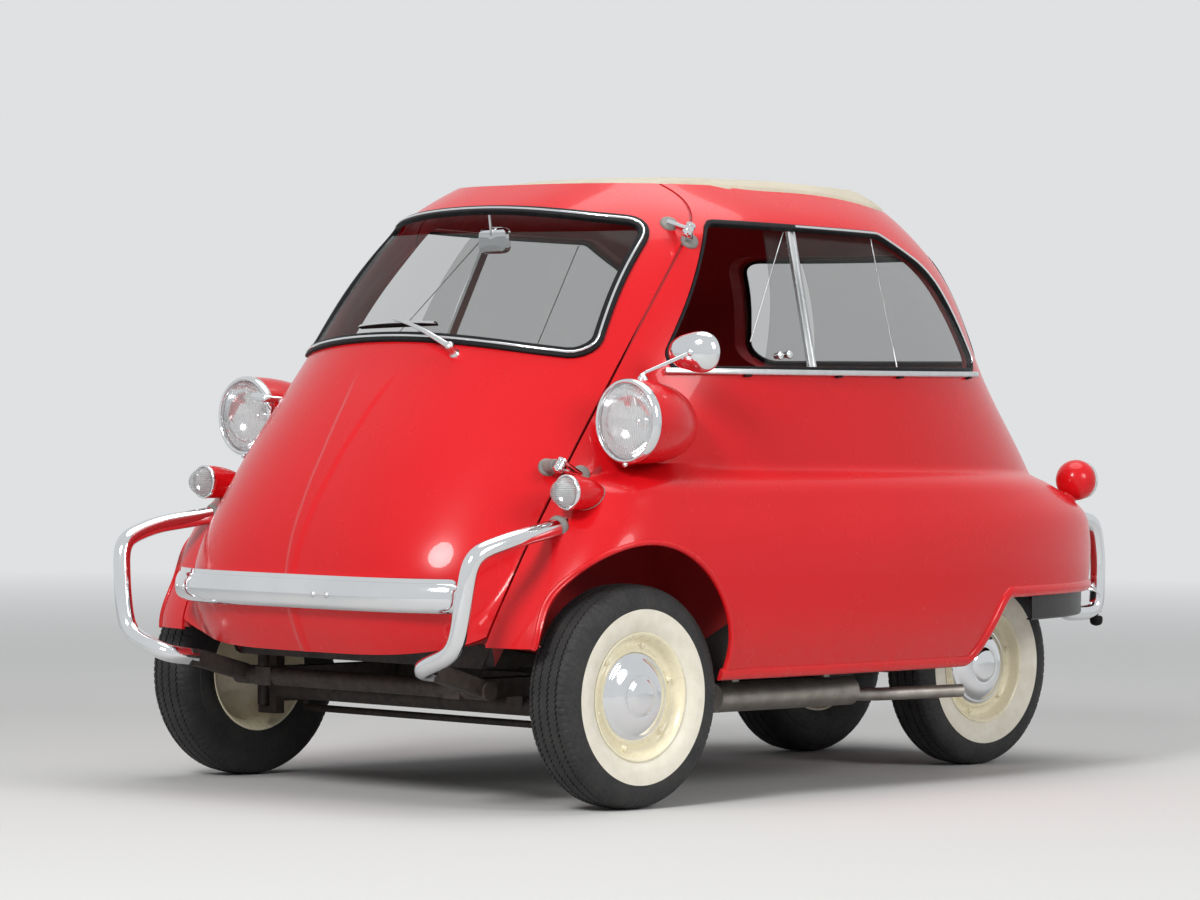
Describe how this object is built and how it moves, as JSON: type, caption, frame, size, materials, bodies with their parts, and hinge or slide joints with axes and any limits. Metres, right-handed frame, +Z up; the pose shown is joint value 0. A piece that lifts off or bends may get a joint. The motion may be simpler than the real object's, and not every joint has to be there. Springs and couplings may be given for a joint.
{
  "type": "bubble car",
  "caption": "One-box two-seat bubble car with a front-opening door, canvas sunroof, narrow rear track and tube bumpers.",
  "frame": {"origin": "on the ground below the middle of the car, on the symmetry plane, half way between the axles", "axes": "+Z up, the nose door faces -Y, the car's left is +X"},
  "size_m": [1.3998, 2.355, 1.3535],
  "materials": {
    "red_paint": "gloss",
    "dark_paint": "satin",
    "cream_paint": "gloss",
    "chrome": "polished",
    "aluminium": "satin",
    "cast_metal": "rough",
    "worn_steel": "dull",
    "tyre": "matte",
    "clear_glass": "clear",
    "red_lens": "clear",
    "canvas": "woven",
    "seat_cover": "woven",
    "black_plastic": "gloss",
    "ivory_plastic": "gloss",
    "blank_plate": "satin"
  },
  "bodies": {
    "body": {"body_shell": "red_paint", "chassis_frame": "dark_paint", "front_axle": "dark_paint", "engine_block": "cast_metal", "exhaust": "worn_steel", "sunroof_canvas": "canvas", "side_glass": "clear_glass", "rear_glass": "clear_glass", "window_posts": "aluminium", "lamp_pods": "red_paint", "lamp_rims": "chrome", "headlamp_lenses": "clear_glass", "signal_lenses": "clear_glass", "tail_lenses": "red_lens", "front_bumpers": "chrome", "rear_bumpers": "chrome", "wing_mirror": "chrome", "hinge_brackets": "chrome", "seat_cushion": "seat_cover", "seat_back": "seat_cover", "seat_frame": "dark_paint", "gear_lever": "black_plastic", "pedals": "dark_paint", "steering_box": "dark_paint", "rear_axle_housing": "dark_paint", "rear_springs": "dark_paint", "number_plate": "blank_plate"},
    "door": {"door_panel": "red_paint", "windshield_glass": "clear_glass", "bumper_blade": "chrome", "door_handle": "chrome", "wiper": "chrome", "door_hinges": "chrome", "dashboard": "red_paint", "steering_column": "ivory_plastic"},
    "steering_wheel": {"steering_wheel": "ivory_plastic"},
    "knuckle_left": {"knuckle_left": "dark_paint"},
    "knuckle_right": {"knuckle_right": "dark_paint"},
    "tie_rod": {"tie_rod": "dark_paint"},
    "wheel_front_left": {"tyre_front_left": "tyre", "rim_front_left": "cream_paint", "hubcap_front_left": "chrome"},
    "wheel_front_right": {"tyre_front_right": "tyre", "rim_front_right": "cream_paint", "hubcap_front_right": "chrome"},
    "rear_wheels": {"rear_axle": "worn_steel", "tyres_rear": "tyre", "rims_rear": "cream_paint", "hubcaps_rear": "chrome"}
  },
  "joints": [
    {"name": "door_hinge", "type": "hinge", "parent": "body", "child": "door", "pos_m": [0.52, -0.862, 0.716], "axis": [-0.0597, 0.642, 0.7644], "range_deg": [0, 80]},
    {"name": "steer_left", "type": "hinge", "parent": "body", "child": "knuckle_left", "pos_m": [0.535, -0.75, 0.235], "axis": [0, 0, 1], "range_deg": [-24, 24]},
    {"name": "steer_right", "type": "hinge", "parent": "body", "child": "knuckle_right", "pos_m": [-0.535, -0.75, 0.235], "axis": [0, 0, 1], "range_deg": [-24, 24]},
    {"name": "tie_rod_slide", "type": "slide", "parent": "body", "child": "tie_rod", "axis": [-1, 0, 0], "range_m": [-0.0412, 0.0412]},
    {"name": "steering_turn", "type": "hinge", "parent": "door", "child": "steering_wheel", "pos_m": [0.2, -0.5, 0.8], "axis": [0.0825, 0.6683, 0.7393], "range_deg": [-241, 241]},
    {"name": "front_left_spin", "type": "hinge", "parent": "knuckle_left", "child": "wheel_front_left", "pos_m": [0.6, -0.75, 0.235], "axis": [1, 0, 0], "continuous": true},
    {"name": "front_right_spin", "type": "hinge", "parent": "knuckle_right", "child": "wheel_front_right", "pos_m": [-0.6, -0.75, 0.235], "axis": [1, 0, 0], "continuous": true},
    {"name": "rear_spin", "type": "hinge", "parent": "body", "child": "rear_wheels", "pos_m": [0, 0.75, 0.235], "axis": [1, 0, 0], "continuous": true}
  ],
  "couplings": [
    {"joint": "steer_right", "follows": "steer_left", "ratio": 1},
    {"joint": "tie_rod_slide", "follows": "steer_left", "m_per_rad": 0.097164},
    {"joint": "steering_turn", "follows": "steer_left", "ratio": 10}
  ]
}
